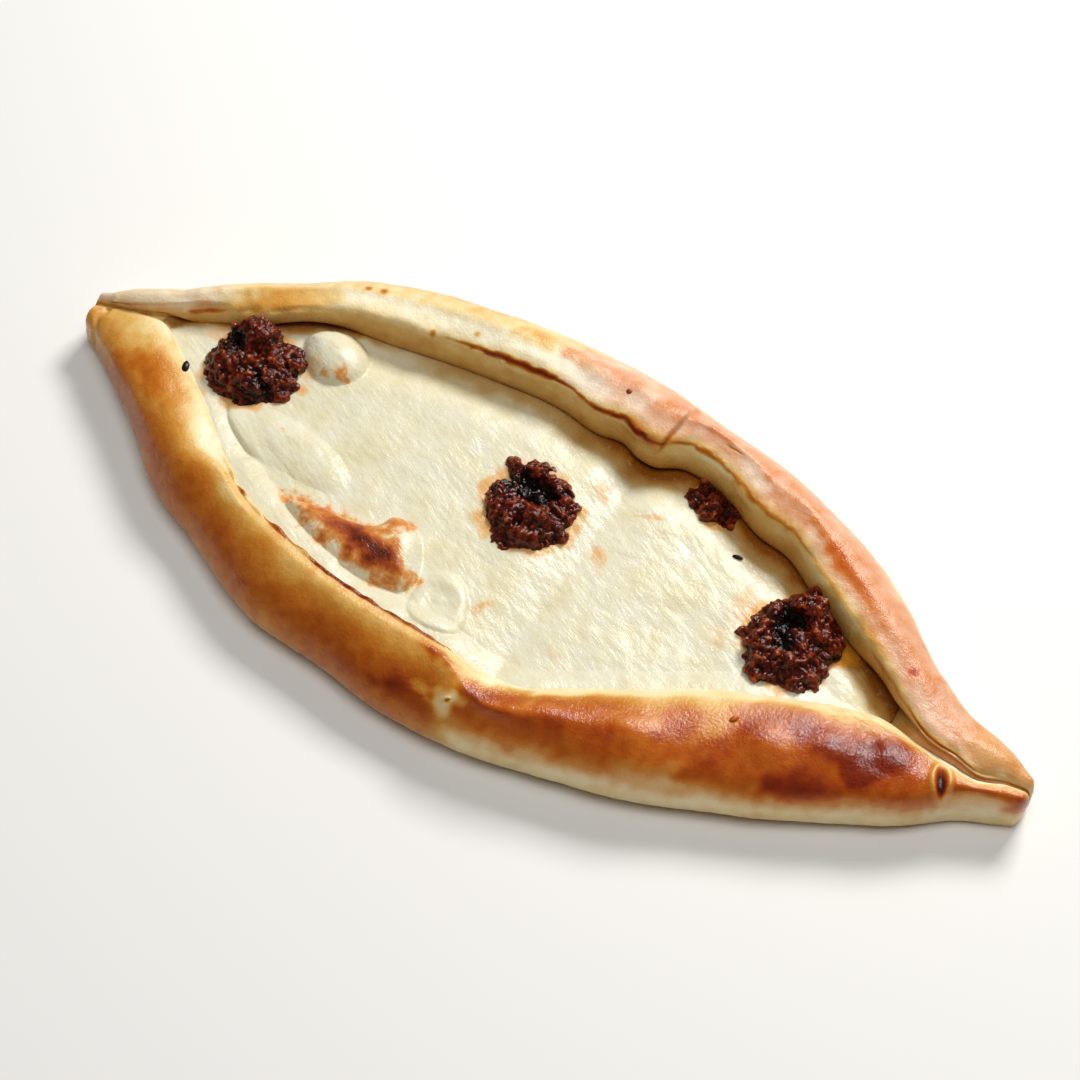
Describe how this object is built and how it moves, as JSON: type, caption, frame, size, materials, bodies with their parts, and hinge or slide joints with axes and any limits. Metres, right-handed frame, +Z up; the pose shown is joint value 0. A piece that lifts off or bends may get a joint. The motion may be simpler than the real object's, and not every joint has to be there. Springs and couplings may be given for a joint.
{
  "type": "turkish pide",
  "caption": "Boat-shaped flatbread with folded rims and pinched tips, an open middle filled with melted cheese, and lumps of cooked minced meat on it.",
  "frame": {"origin": "on the ground, under the middle of the boat's box", "axes": "+X along the boat from one pinched tip to the other, +Y across it towards the flap whose free edge overhangs the cheese, +Z up"},
  "size_m": [0.2624, 0.1109, 0.023],
  "materials": {
    "crust": "baked dough with a thin egg-wash sheen",
    "cheese": "melted cheese, satin and slightly oily",
    "meat": "wet with fat"
  },
  "bodies": {
    "root": {"crust": "crust", "cheese": "cheese", "meat_left": "meat", "meat_mid": "meat", "meat_right": "meat", "meat_tuck": "meat"}
  },
  "joints": []
}
